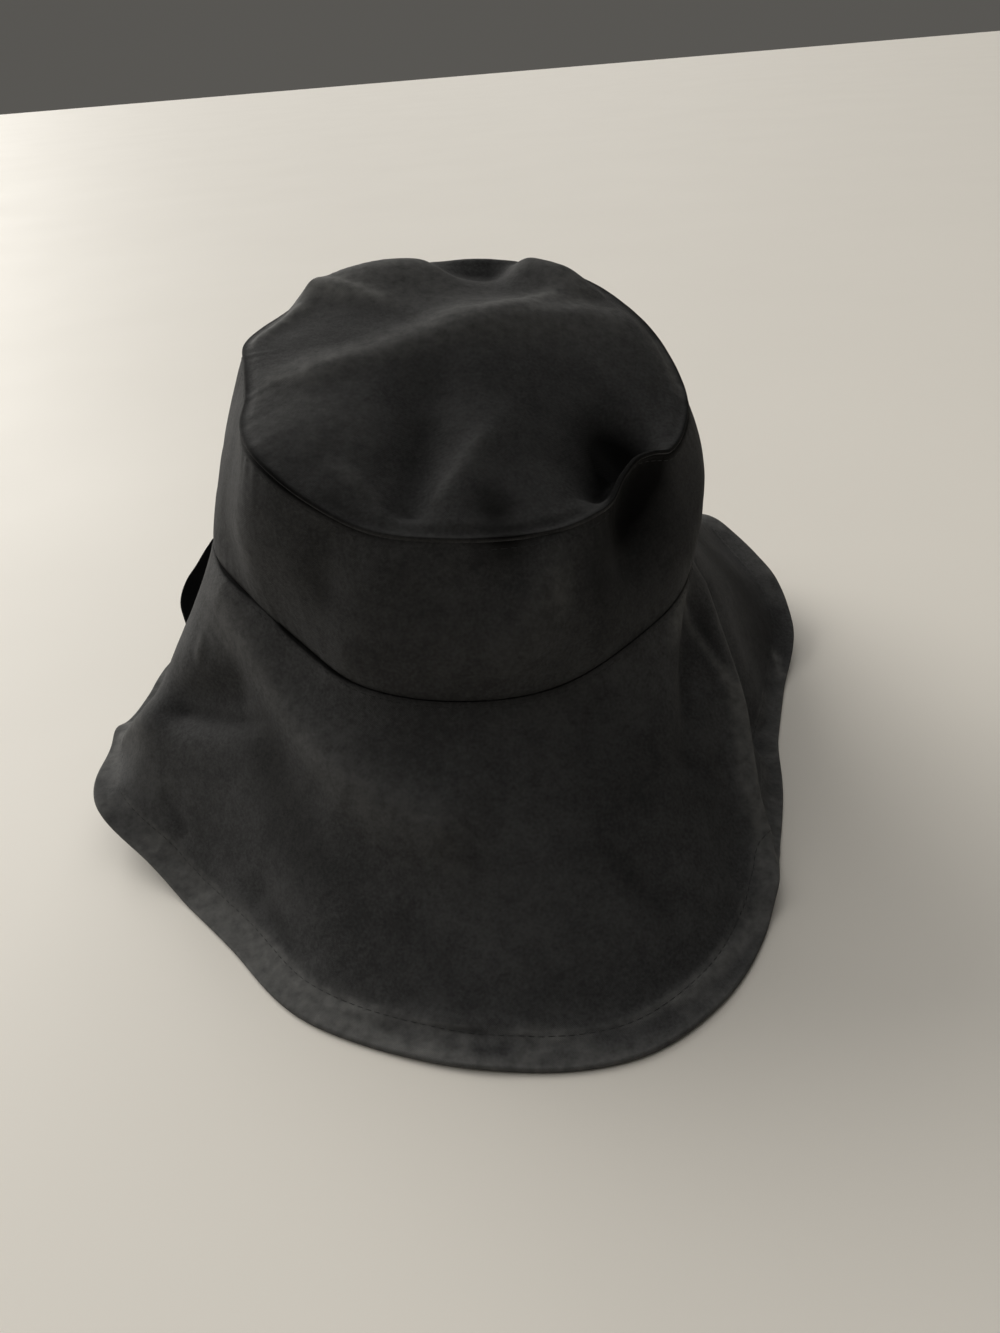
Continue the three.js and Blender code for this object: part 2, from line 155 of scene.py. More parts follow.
# Small dents and lumps of the hem's band, of its outer skin only, written as the folds are
HEM_PUCKERS = (
    ((0.03, 0.05), 0.011, (322, 0.83, 0), (333, 0.89), (340, 0.92), (349, 0.87),
     (361, 0.85, 0.7), (374, 0.87, 0.5), (386, 0.9), (393, 0.915), (399, 0.94, 0)),
    (0.035, -0.008, (349, 0.92), (349.6, 0.92)), (0.025, -0.009, (352, 0.89), (352.6, 0.895)),
    (0.022, -0.011, (354.5, 0.888, 0.7), (359.5, 0.89)),
    (0.022, -0.007, (356.3, 0.94), (356.8, 0.94)), (0.03, -0.009, (360, 0.92), (362.5, 0.91)),
    (0.03, 0.007, (364, 0.87), (364.6, 0.875)), (0.03, 0.006, (367.4, 0.89), (368, 0.89)),
    (0.03, 0.006, (365.4, 0.95), (368.6, 0.94)), (0.025, -0.006, (373, 0.915), (374.4, 0.91)),
    (0.03, -0.009, (388, 0.935, 0), (391, 0.93), (396, 0.94, 0)),
)

# Painted highlights (positive) and painted shade (negative) on the cloth, as in the dark hollow of the
# brim's rear-left lobe and the crown's dents, written as the folds are
BRIM_PAINTED_LIGHT_AND_SHADE = (
    (0.12, 0.3, (292, 0.2), (300, 0.15)),
    (0.035, -0.2, (290, 0.5, 0.5), (303, 0.4), (316, 0.26, 0.5)),
    (0.18, -0.5, (318, 0.35), (332, 0.55)), (0.25, 0.2, (288, 0.7), (300, 0.7)),
    (0.07, -0.3, (299, 0.75), (300, 0.77)), ((0.07, 0.05), -0.35, (326, 0.79), (330, 0.82)),
    (0.1, 1.4, (298, 0.93, 0.4), (330, 0.95), (346, 0.95, 0.8), (362, 0.95, 0)),
    (0.03, 1.2, (328, 0.86, 0), (337, 0.91), (346, 0.89)), (0.03, -0.55, (347, 0.93), (356, 0.91)),
    (0.03, -0.45, (359, 0.94), (362, 0.93)), (0.03, 0.6, (4, 0.87), (8, 0.89)),
    (0.05, -0.25, (13, 0.92), (19, 0.93)),
    (0.03, 1, (12, 0.88, 0), (27, 0.9), (36, 0.93), (40, 0.95, 0)),
    (0.05, -0.25, (35, 0.95), (28, 0.95)),
    (0.16, -1.6, (216, 0.95, 0.6), (224, 0.94), (233, 0.93), (243, 0.94)),
    ((0.07, 0.06), -0.7, (76, 0.12, 0), (68, 0.2), (65, 0.3), (60, 0.4, 0)),
    (0.03, 1.3, (68, 0.06, 0.6), (63.5, 0.42), (53, 0.64), (45, 0.88), (41, 0.97, 0)),
    (0.05, -0.5, (58, 0.74), (52, 0.8)), (0.04, 0.7, (67, 0.02), (58, 0.07), (51, 0.12, 0)),
    (0.3, -0.6, (118, 0.5), (108, 0.75)), (0.03, 1, (104, 0.82, 0), (101.5, 0.9), (98, 0.95)),
    (0.3, -0.25, (30, 0.3), (42, 0.5)), (0.3, 0.1, (355, 0.55), (345, 0.3)),
    (0.08, -0.2, (350, 0.62), (356, 0.75)), (0.05, -0.25, (20, 0.45), (25, 0.68)),
)
SIDE_PAINTED_LIGHT_AND_SHADE = (
    ((0.11, 0.1), -2, (59, 1), (54, 0.97), (49, 0.94), (47, 0.88, 0.4)),
    (0.18, -0.35, (62, 0.95), (60, 0.75, 0.6)), (0.09, -0.6, (14, 1), (13.5, 0.93), (13, 0.8, 0)),
    (0.3, -0.4, (45, 0.6), (75, 0.5)), (0.05, 0.5, (27, 0.84, 0.4), (24, 0.62), (22, 0.45, 0)),
    (0.07, -0.3, (36, 0.8, 0.4), (35, 0.6), (33, 0.4, 0)), (0.06, -0.25, (327, 0.66), (331, 0.5)),
    (0.06, 0.3, (96, 0.3), (66, 0.12)), (0.07, -0.15, (350, 0.8), (354, 0.5, 0.5)),
)
TOP_PAINTED_LIGHT_AND_SHADE = (
    ((0.13, 0.12), -2, (0.77, -0.42, 0.8), (0.83, -0.5), (0.8, -0.62)),
    (0.22, 0.5, (-0.5, 0.55), (-0.05, 0.55)),
    (0.12, 0.15, (0.2, 0.08, 0.5), (0.51, 0.38), (0.77, 0.6)),
    (0.35, -0.25, (0.1, -0.38), (0.6, -0.3)), (0.3, 0.25, (-0.75, -0.4), (-0.4, -0.5)),
    (0.04, 0.8, (-0.8, 0.1, 0.6), (-0.62, 0.31)),
    (0.06, 0.9, (-0.64, 0.5), (-0.39, 0.4), (-0.12, 0.3, 0.3)),
    (0.12, -0.15, (-0.75, -0.12), (-0.4, 0.02)), (0.1, -0.6, (0.2, -0.82), (0.25, -0.95)),
    (0.05, 0.9, (1.08, 0.34), (1.14, 0.1)),
)

# Slack ripples and small lumps of each panel, and uneven patches of the painted highlight on the hem's
# band: height, wavelength and seed
BRIM_SLACK = ((0.0004, 0.06, 3), (0.0001, 0.024, 4))
SIDE_SLACK = ((0.0009, 0.05, 5), (0.0002, 0.022, 6))
TOP_SLACK = ((0.0006, 0.05, 7), (0.00016, 0.022, 8))
BRIM_LUMPS = ((0.00004, 0.009, 13),)
SIDE_LUMPS = ((0.00004, 0.009, 15),)
TOP_LUMPS = ((0.00004, 0.009, 17),)
HEM_HIGHLIGHT_PATCHES = ((0.5, 0.014, 18),)

# Puckers along the seams: their height, and how far from the edge they reach full height. Then
# each panel's: how far they reach, how many there are and their seed
PUCKER_HEIGHT = 0.00013
PUCKER_START = 0.003
BRIM_PUCKERS = (0.006, 80, 12)
SIDE_PUCKERS = (0.007, 85, 14)
TOP_PUCKERS = (0.008, 75, 16)

# The groove of the seam up the back of the hat
BACK_SEAM_DEPTH = 0.0005
BACK_SEAM_WIDTH = 0.0007
BRIM_BACK_RADIUS = 0.12  # about where the brim's back seam lies

SEAM_TONGUE = 0.0006  # how far the edge under a seam reaches into the panel above it
SEAM_GROOVE_SHADE = 1.1  # how much painted shade darkens the cloth in a seam's groove
SEAM_GROOVE_SHADE_WIDTH = 0.0014
TOP_SEAM_OPENNESS = 0.5  # the least openness that counts for the painted shade of the top seam

# The turned hem: rise of its band, half the width of its step, its waves and its stitched groove
HEM_RISE = 0.00035
HEM_STEP = 0.0004
HEM_WAVE_HEIGHT = 0.0001
HEM_WAVE_START = 0.004
HEM_WAVES = 60
HEM_GROOVE_DEPTH = 0.0003
HEM_GROOVE_WIDTH = 0.0007

# Shares across the brim between which its cloth turns to lie flat
FLAT_START = 0.75
FLAT_END = 0.9

SIDE_RELIEF_START = 0.002  # how far from its edges the side's relief reaches full height

# Limits of the brim's outer skin, as shares of its cloth
DEEPEST_RELIEF = 0.8
LOWEST_OUTER = 0.45

# Tone of each cloth beside the colours in the sidebar
BRIM_TONE = 1.22
CROWN_TONE = 1.05

# Painted highlight, with rubbed wear, on crests and painted shade in creases: how much the folds show it
# and how far the large folds count, the height of a crest in full painted highlight, the depth of a
# crease in full painted shade, and the painted highlight on the edge and band of the hem
FOLD_LIGHT_AND_SHADE = 0.6
BRIM_FOLD_HIGHLIGHT_SHADE = 0.15
CROWN_FOLD_HIGHLIGHT_SHADE = 0.2
FULL_HIGHLIGHT_CREST = 0.002
FULL_SHADE_CREASE = 0.009
HEM_EDGE_HIGHLIGHT = 0.55
HEM_EDGE_WIDTH = 0.0016
HEM_BAND_HIGHLIGHT = 0.42

# Stitches: distance from a seam, and from the inner edge of the hem
SEAM_STITCH_DEPTH = 0.0022
HEM_STITCH_INSET = 0.0018
TWIST_SCALE = 2500  # turns of the thread's fibres per metre

# Mesh rows and columns, and which of the outer skin's rows the inner skin has
COLUMNS = 560
BRIM_ROWS = 120
SIDE_ROWS = 86
TOP_CELLS = 150
ROW_CROWDING = 0.8  # how much closer rows stand near both edges
INNER_ROWS = slice(2, -2, 3)

# How open each seam's groove is round the hat: azimuth, share of half the cloth
HEAD_GROOVE = (
    (0, 0.35), (20, 0.3), (45, 0.35), (60, 0.6), (66, 1.3), (74, 0.8), (180, 0.6), (270, 0.6),
    (288, 1), (293, 1.5), (300, 1.2), (306, 0.4), (311, 0.4), (316, 1.3), (330, 1.3), (338, 0.6),
    (348, 0.35),
)
TOP_GROOVE = (
    (0, 0.15), (14, 0.35), (25, 0.1), (45, 0.2), (58, 0.7), (75, 1), (180, 0.7), (270, 0.8),
    (288, 1.1), (310, 1.1), (325, 0.9), (340, 0.5), (350, 0.25),
)

# The top panel: its slope, its pillow and how it ends at its rim
TOP_LIFT = 0.66  # height over the middle of the head opening, as a share of the crown height
TOP_BACK_RISE = 0.38
TOP_LEFT_RISE = 0.22
TOP_MIDDLE = np.array((0.08, -0.02))  # shares of the top radius
TOP_PILLOW = 0.1  # rise of the middle above the seam, as a share of the crown height
TOP_PILLOW_POWER = 1.6
TOP_FOLD_FADE = 8  # how steeply the folds of the top panel end at its rim
TOP_RIM_START = 0.93  # share where the top panel starts to bend to its seam
TOP_RIM_END = 0.985
TOP_LEAST_GAP = 0.2  # the least share of the seam gap under the rim
TOP_CROWDING = 1.5  # how much closer the rows stand near the rim

# Lamps: the way their light comes from, the angle that it fills and its colour
KEY_LAMP = ((-0.62, 0.66, 0.38), math.radians(45), (1, 0.97, 0.91))
SOFT_LAMP = ((-0.45, 0.6, 0.66), math.radians(110), (1, 0.98, 0.94))
FLOOR_HALF = 8  # metres
FLOOR_PALE = 0.96  # how pale its cloudy patches are beside the rest

# The camera, for an upright frame of 1000 by 1333
CAMERA_PLACE = (0.0114, -0.3392, 0.266)
CAMERA_PITCH = math.radians(33.4)
CAMERA_ROLL = math.radians(4.8)
CAMERA_LENS = 26.0  # millimetres
CAMERA_SENSOR = 36.0


def smooth_between(places, values, index, at):
    """Values between two rows of a table, with tangents from the rows beside them."""
    gap = places[index + 1] - places[index]
    t = (at - places[index]) / gap
    before, here, after, beyond = (values[index + step] for step in (-1, 0, 1, 2))
    slope_here = (after - before) * gap / (places[index + 1] - places[index - 1])
    slope_next = (beyond - here) * gap / (places[index + 2] - places[index])
    ease = t * t * (3 - 2 * t)
    return here + (after - here) * ease + slope_here * t * (1 - t) ** 2 - slope_next * t * t * (1 - t)


def around(table, column, azimuth):
    """A column of a table that closes round the hat."""
    rows = np.array(table, float)
    places = np.concatenate([rows[-1:, 0] - 360, rows[:, 0], rows[:2, 0] + 360])
    values = np.concatenate([rows[-1:, column], rows[:, column], rows[:2, column]])
    turn = np.mod(azimuth, 360)
    index = np.searchsorted(rows[:, 0], turn, side="right")
    return smooth_between(places, values, index, turn)


def across(table, column, share):
    """A column of a table that runs from one edge of a panel to the other."""
    rows = np.array(table, float)
    places = np.concatenate([rows[:1, 0] - 1, rows[:, 0], rows[-1:, 0] + 1])
    values = np.concatenate([rows[:1, column], rows[:, column], rows[-1:, column]])
    index = np.clip(np.searchsorted(rows[:, 0], share, side="right"), 1, len(rows) - 1)
    return smooth_between(places, values, index, share)


def polar(azimuth, radius, height):
    """Points at azimuths, radii and heights."""
    angle = np.radians(azimuth)
    return np.stack(np.broadcast_arrays(radius * np.sin(angle), -radius * np.cos(angle), height), -1)


def unit(vectors):
    return vectors / np.maximum(np.linalg.norm(vectors, axis=-1, keepdims=True), 1e-12)


def ease(low, high, values):
    """A smooth step from 0 at low to 1 at high."""
    t = np.clip((values - low) / (high - low), 0, 1)
    return t * t * (3 - 2 * t)


class Pattern:
    """The hat's surfaces before their folds, from the sizes in the sidebar."""

    def __init__(self, sizes):
        self.sizes = sizes

    def head_seam(self, azimuth):
        radius = around(HEAD_SEAM, 1, azimuth) * self.sizes.head_radius
        return polar(azimuth, radius, around(HEAD_SEAM, 2, azimuth) * self.sizes.seam_height)

    def top_seam(self, azimuth):
        height = self.sizes.seam_height + around(TOP_SEAM, 2, azimuth) * self.sizes.crown_height
        return polar(azimuth, around(TOP_SEAM, 1, azimuth) * self.sizes.top_radius, height)

    def brim(self, azimuth, share):
        start = self.head_seam(azimuth)
        reach = across(BRIM_PROFILE, 1, share) * around(HEM, 1, azimuth) * self.sizes.brim_reach
        low = self.sizes.brim_cloth + np.maximum(around(HEM, 2, azimuth), 0) * self.sizes.seam_height
        drop = across(BRIM_PROFILE, 2, share)
        radius = np.hypot(start[..., 0], start[..., 1]) + reach
        return polar(azimuth, radius, start[..., 2] + (low - start[..., 2]) * drop)

    def side(self, azimuth, share):
        low = self.head_seam(azimuth)
        point = low + (self.top_seam(azimuth) - low) * np.asarray(share)[..., None]
        bulge = around(SIDE_BULGE, 1, azimuth) * self.sizes.head_radius * np.sin(np.pi * share)
        return point + polar(azimuth, bulge, 0)

    def top_slope(self, point):
        level = self.sizes.seam_height + TOP_LIFT * self.sizes.crown_height
        return level + TOP_BACK_RISE * point[..., 1] - TOP_LEFT_RISE * point[..., 0]

    def top(self, azimuth, share):
        rim = self.top_seam(azimuth)
        middle = np.append(TOP_MIDDLE * self.sizes.top_radius, 0)
        point = middle + (rim - middle) * share[..., None]
        rise = rim[..., 2] - self.top_slope(rim)
        pillow = TOP_PILLOW * self.sizes.crown_height * (1 - share ** TOP_PILLOW_POWER)
        point[..., 2] = self.top_slope(point) + rise * share ** 3 + pillow
        return point

    def plan(self, x, y):
        """Places on the top panel seen from above."""
        return np.stack([x, y, 0 * x], -1) * self.sizes.top_radius


def outwards(surface, azimuth, share):
    """Unit normals of a surface, pointing out of the hat, from points a short way to each side."""
    turn = 1
    step = 0.1
    high = np.minimum(share + step, 1)
    low = np.maximum(share - step, 0)
    ring = surface(azimuth + turn, share) - surface(azimuth - turn, share)
    normal = unit(np.cross(ring, surface(azimuth, high) - surface(azimuth, low)))
    facing = (normal * polar(azimuth, 1, 1)).sum(-1, keepdims=True)
    return np.where(facing < 0, -normal, normal)


def fold_height(points, normals, surface, size, folds):
    """Summed height of a table's folds at the points of a surface."""
    steps = 8
    shape = points.shape[:-1]
    points = points.reshape(-1, 3)
    normals = normals.reshape(-1, 3)
    total = np.zeros(len(points))
    for widths, height, *path in folds:
        left, right = np.broadcast_to(widths, 2) * size
        path = np.array([(*place, 1)[:3] for place in path], float)
        places = np.linspace(path[:-1], path[1:], steps + 1, axis=1).reshape(-1, 3)
        line = surface(places[:, 0], places[:, 1])
        strengths = places[:, 2]
        reach = 3 * max(left, right)
        near = ((points > line.min(0) - reach) & (points < line.max(0) + reach)).all(1)
        total[near] += height * size * fold_profile(
            points[near], normals[near], line, strengths, left, right
        )
    return total.reshape(shape)


def fold_profile(points, normals, line, strengths, left, right):
    """Height share of one fold, which may be wider on one side of its line than on the other."""
    distance = np.full(len(points), np.inf)
    strength = np.zeros(len(points))
    lean = np.zeros(len(points))
    for start, end, low, high in zip(line, line[1:], strengths, strengths[1:]):
        along = end - start
        length = max(along @ along, 1e-12)
        share = np.clip((points - start) @ along / length, 0, 1)
        offset = points - start - share[:, None] * along
        away = np.linalg.norm(offset, axis=1)
        nearer = away < distance
        side = (np.cross(along / math.sqrt(length), offset) * normals).sum(1) / np.maximum(away, 1e-9)
        distance[nearer] = away[nearer]
        strength[nearer] = (low + (high - low) * share)[nearer]
        lean[nearer] = side[nearer]
    width = right + (left - right) * (lean + 1) / 2
    return strength * np.exp(-((distance / width) ** 2))


def ripples(points, wavelength, seed):
    """Smooth random bumps about as wide as the wavelength, mostly between -1 and 1."""
    count = 28
    random = np.random.default_rng(seed)
    directions = unit(random.normal(size=(count, 3)))
    lengths = wavelength * random.uniform(0.7, 1.5, count)
    phases = random.uniform(0, 2 * math.pi, count)
    total = np.zeros(points.shape[:-1])
    for direction, length, phase in zip(directions, lengths, phases):
        total += np.cos(points @ direction * 2 * math.pi / length + phase)
    return total / math.sqrt(count)


def waves(azimuth, number, seed):
    """Uneven waves round the hat, about so many of them, mostly between -1 and 1."""
    count = 9
    random = np.random.default_rng(seed)
    total = np.zeros(np.shape(azimuth))
    for turns in np.round(number * random.uniform(0.6, 1.5, count)):
        total += np.cos(np.radians(azimuth) * turns + random.uniform(0, 2 * math.pi))
    return total / math.sqrt(count)


def uneven(points, table):
    """Summed ripples of a table of heights, wavelengths and seeds."""
    return sum(height * ripples(points, wavelength, seed) for height, wavelength, seed in table)


def puckers(azimuth, depth, row):
    """Small puckers along a seam, at distances from it."""
    reach, number, seed = row
    height = PUCKER_HEIGHT * np.exp(-depth / reach) * ease(0, PUCKER_START, depth)
    return height * waves(azimuth, number, seed)


def back_seam(azimuth, radius):
    """Depth of the groove up the back of a panel."""
    turned = np.mod(azimuth, 360) - 180
    return BACK_SEAM_DEPTH * np.exp(-((np.radians(turned) * radius / BACK_SEAM_WIDTH) ** 2))


def seam_groove_shade(depth, openness):
    """Painted shade in a seam's groove, darker where the groove is more open, as a number of the light,
    shade and wear attribute.
    """
    return -SEAM_GROOVE_SHADE * np.exp(-((depth / SEAM_GROOVE_SHADE_WIDTH) ** 2)) * openness


def turned_edge(depth, roll, openness):
    """How far a turned edge falls back at a distance from the very edge."""
    inside = np.clip(1 - depth / (roll * openness), 0, 1)
    return roll * np.minimum(openness, 1) * (1 - np.sqrt(np.maximum(1 - inside ** 2, 0)))


def highlight_and_shade_of(rise):
    """Painted highlight, with rubbed wear, on crests as numbers up to 1, and painted shade in creases as
    numbers down to -1.
    """
    return np.clip(rise / FULL_HIGHLIGHT_CREST, 0, 1) + np.clip(rise / FULL_SHADE_CREASE, -1, 0)


def close_rows(count):
    """Shares from 0 to 1 that stand closer together near both ends."""
    even = np.linspace(0, 1, count)
    return even - ROW_CROWDING * np.sin(2 * math.pi * even) / (2 * math.pi)


def grid_normals(grid):
    """Unit normals of a grid whose columns close round the hat."""
    down = np.gradient(grid, axis=0)
    ring = np.roll(grid, -1, axis=1) - np.roll(grid, 1, axis=1)
    normal = unit(np.cross(ring, down))
    middle = grid.mean((0, 1)) * (1, 1, 0)
    facing = (normal * (grid - middle)).sum(-1).sum()
    return -normal if facing < 0 else normal


def depths(grid):
    """Distances of a grid's points from its first row and from its last, along the cloth."""
    steps = np.linalg.norm(np.diff(grid, axis=0), axis=2)
    walked = np.concatenate([np.zeros((1, grid.shape[1])), np.cumsum(steps, axis=0)])
    return walked, walked[-1] - walked


def placed(name, data):
    """A new object in the scene."""
    thing = bpy.data.objects.new(name, data)
    bpy.context.scene.collection.objects.link(thing)
    return thing


def smooth_object(name, vertices, faces, material):
    """A smooth mesh object in the hat's place."""
    mesh = bpy.data.meshes.new(name)
    mesh.from_pydata((vertices + HAT_PLACE).tolist(), [], faces)
    mesh.validate()
    mesh.shade_smooth()
    mesh.materials.append(material)
    return placed(name, mesh)


def mesh_piece(name, vertices, quads, grain, light_shade_and_wear, material):
    """A smooth mesh object with its grain map and its places of painted highlight, painted shade and
    wear.
    """
    corners = vertices[quads]
    sides = np.cross(corners[:, 2] - corners[:, 0], corners[:, 3] - corners[:, 1])
    if (corners.mean(1) * sides).sum() < 0:
        quads = quads[:, ::-1]
        grain = grain[:, ::-1]
    piece = smooth_object(name, vertices, quads.tolist(), material)
    layer = piece.data.uv_layers.new(name="grain")
    layer.data.foreach_set("uv", grain.reshape(-1).astype(np.float32))
    # attribute of painted highlights on crests, hem and streaks, painted shade in creases, seam grooves
    # and hollows, and rubbed wear on crests
    places = piece.data.attributes.new("light_shade_and_wear", "FLOAT", "POINT")
    places.data.foreach_set("value", light_shade_and_wear.astype(np.float32))
    return piece


def close_edges(outer, inner):
    """Brings the first and last rows of the outer skin to the middle of the cloth."""
    outer[[0, -1]] = (outer[[0, -1]] + inner[[0, -1]]) / 2
    return inner[INNER_ROWS]


def band_walk(depth):
    """Distances along the cloth for the rows of both skins of a band."""
    return np.concatenate([depth, depth[INNER_ROWS][::-1]])


def band_piece(name, outer, inner, grain, wrap, light_shade_and_wear, material):
    """A closed band of cloth from rows of its outer skin, edge to edge, and of its inner skin."""
    rings = np.concatenate([outer, inner[::-1]])
    rows, columns = rings.shape[:2]
    ring, column = np.meshgrid(np.arange(rows), np.arange(columns), indexing="ij")
    corners = []
    maps = []
    for down, turn in ((0, 0), (0, 1), (1, 1), (1, 0)):
        row = (ring + down) % rows
        place = (column + turn) % columns
        corners.append(row * columns + place)
        shift = np.where(column + turn >= columns, wrap, 0)
        maps.append(grain[row, place] + np.stack([shift, 0 * shift], -1))
    quads = np.stack(corners, -1).reshape(-1, 4)
    grain_map = np.stack(maps, 2).reshape(-1, 4, 2)
    all_light_shade_and_wear = np.concatenate([light_shade_and_wear, np.zeros(inner.shape[:2])]).reshape(-1)
    return mesh_piece(name, rings.reshape(-1, 3), quads, grain_map, all_light_shade_and_wear, material)


def disc_piece(name, outer, inner, grain, light_shade_and_wear, material):
    """A closed disc of cloth from two square grids that share their border."""
    size = len(outer)
    count = size * size
    index = np.arange(count).reshape(size, size)
    edge = np.ones((size, size), bool)
    edge[1:-1, 1:-1] = False
    under = np.where(edge, index, 0)
    under[~edge] = count + np.arange((~edge).sum())
    vertices = np.concatenate([outer.reshape(-1, 3), inner[~edge]])
    flat = np.concatenate([grain.reshape(-1, 2), grain[~edge]])
    both = []
    for skin, order in ((index, 1), (under, -1)):
        quads = np.stack([skin[:-1, :-1], skin[:-1, 1:], skin[1:, 1:], skin[1:, :-1]], -1).reshape(-1, 4)
        both.append(quads[:, ::order])
    quads = np.concatenate(both)
    all_light_shade_and_wear = np.concatenate([light_shade_and_wear.reshape(-1), np.zeros((~edge).sum())])
    return mesh_piece(name, vertices, quads, flat[quads], all_light_shade_and_wear, material)


def line_at_depth(grid, normals, depth, wanted):
    """Points and normals of a grid along the line at a wanted depth from one of its edges."""
    points = []
    facing = []
    for column in range(grid.shape[1]):
        order = np.argsort(depth[:, column])
        points.append(spread(grid[order, column], depth[order, column], wanted))
        facing.append(spread(normals[order, column], depth[order, column], wanted))
    return np.array(points), unit(np.array(facing))


def spread(table, walked, at):
    """Rows of a table at distances along it."""
    return np.stack([np.interp(at, walked, column) for column in table.T], -1)


def stitch_piece(name, points, normals, sizes, material):
    """A closed row of stitches along a line: each is a short thread that dips in at both ends."""
    closed = np.concatenate([points, points[:1]])
    walked = np.concatenate([[0], np.cumsum(np.linalg.norm(np.diff(closed, axis=0), axis=1))])
    count = int(walked[-1] / sizes.stitch_pitch)
    places = (np.arange(count) + 0.5) * walked[-1] / count
    facing = np.concatenate([normals, normals[:1]])
    half = sizes.stitch_length / 2
    middle = spread(closed, walked, places)
    along = unit(spread(closed, walked, places + half) - spread(closed, walked, places - half))
    up = unit(spread(facing, walked, places))
    across_way = np.cross(up, along)
    sides = 6
    # Shares of the half length, and of the thickness there
    stations = ((-1, 0.35), (-0.72, 0.85), (0, 1), (0.72, 0.85), (1, 0.35))
    radius = sizes.thread_thickness / 2
    rows = []
    for reach, girth in stations:
        dip = radius * (0.3 - 1.5 * reach ** 4)
        for side in range(sides):
            turn = 2 * math.pi * side / sides
            ring = along * reach * half + across_way * radius * girth * math.cos(turn)
            rows.append(middle + ring + up * (radius * girth * math.sin(turn) + dip))
    vertices = np.stack(rows, 1)
    faces = []
    for station in range(len(stations) - 1):
        for side in range(sides):
            first = station * sides
            turn = (side + 1) % sides
            faces.append((first + side, first + turn, first + sides + turn, first + sides + side))
    last = (len(stations) - 1) * sides
    ends = [tuple(range(sides))[::-1], tuple(range(last, last + sides))]
    per_stitch = len(stations) * sides
    every = []
    for stitch in range(count):
        every += [tuple(corner + stitch * per_stitch for corner in face) for face in faces + ends]
    piece = smooth_object(name, vertices.reshape(-1, 3), every, material)
    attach(piece, BODY)
    return piece


def stitch_row(name, skin, facing, depth, wanted, sizes, look):
    """A row of stitches in a skin, along the line at a wanted depth from an edge."""
    line, up = line_at_depth(skin, facing, depth, wanted)
    thread = kept_material("black_thread", thread_material, look)
    stitch_piece(name, line, up, sizes, thread)


# Places of the sockets of a Mix node that mixes colours
MIX_FACTOR = 0
MIX_FIRST = 6
MIX_SECOND = 7
MIX_COLOUR = 2


class Wire:
    """A number that varies over a material, with arithmetic that adds Math nodes."""

    def __init__(self, dye, socket):
        self.dye = dye
        self.socket = socket

    def worked(self, operation, *values):
        return self.dye.wire("ShaderNodeMath", {"operation": operation}, dict(enumerate(values)))

    def __add__(self, other):
        return self.worked("ADD", self, other)

    def __sub__(self, other):
        return self.worked("SUBTRACT", self, other)

    def __rsub__(self, other):
        return self.worked("SUBTRACT", other, self)

    def __mul__(self, other):
        return self.worked("MULTIPLY", self, other)

    __radd__ = __add__
    __rmul__ = __mul__

    def sine(self):
        return self.worked("SINE", self)

    def kept(self):
        """The number held between 0 and 1."""
        return self.dye.wire("ShaderNodeClamp", {}, {"Value": self})


class Dye:
    """Adds the nodes of one material."""

    def __init__(self, name):
        self.material = bpy.data.materials.new(name)
        self.material.use_nodes = True
        self.tree = self.material.node_tree
        self.tree.nodes.clear()

    def node(self, kind, settings, sockets):
        node = self.tree.nodes.new(kind)
        for name, value in settings.items():
            setattr(node, name, value)
        for name, value in sockets.items():
            if isinstance(value, Wire):
                self.tree.links.new(value.socket, node.inputs[name])
            else:
                node.inputs[name].default_value = value
        return node

    def wire(self, kind, settings, sockets, output=0):
        return Wire(self, self.node(kind, settings, sockets).outputs[output])

    def noise(self, place, scale, detail):
        """Cloudy noise around zero."""
        sockets = {"Vector": place, "Scale": scale, "Detail": detail}
        return self.wire("ShaderNodeTexNoise", {}, sockets, "Fac") - 0.5

    def tint(self, share, first, second):
        """A colour between two others."""
        colours = [value if isinstance(value, Wire) else (*value, 1) for value in (first, second)]
        sockets = {MIX_FACTOR: share, MIX_FIRST: colours[0], MIX_SECOND: colours[1]}
        return self.wire("ShaderNodeMix", {"data_type": "RGBA"}, sockets, MIX_COLOUR)

    def finish(self, sockets):
        shader = self.wire("ShaderNodeBsdfPrincipled", {}, sockets, "BSDF")
        self.node("ShaderNodeOutputMaterial", {}, {"Surface": shader})
        return self.material


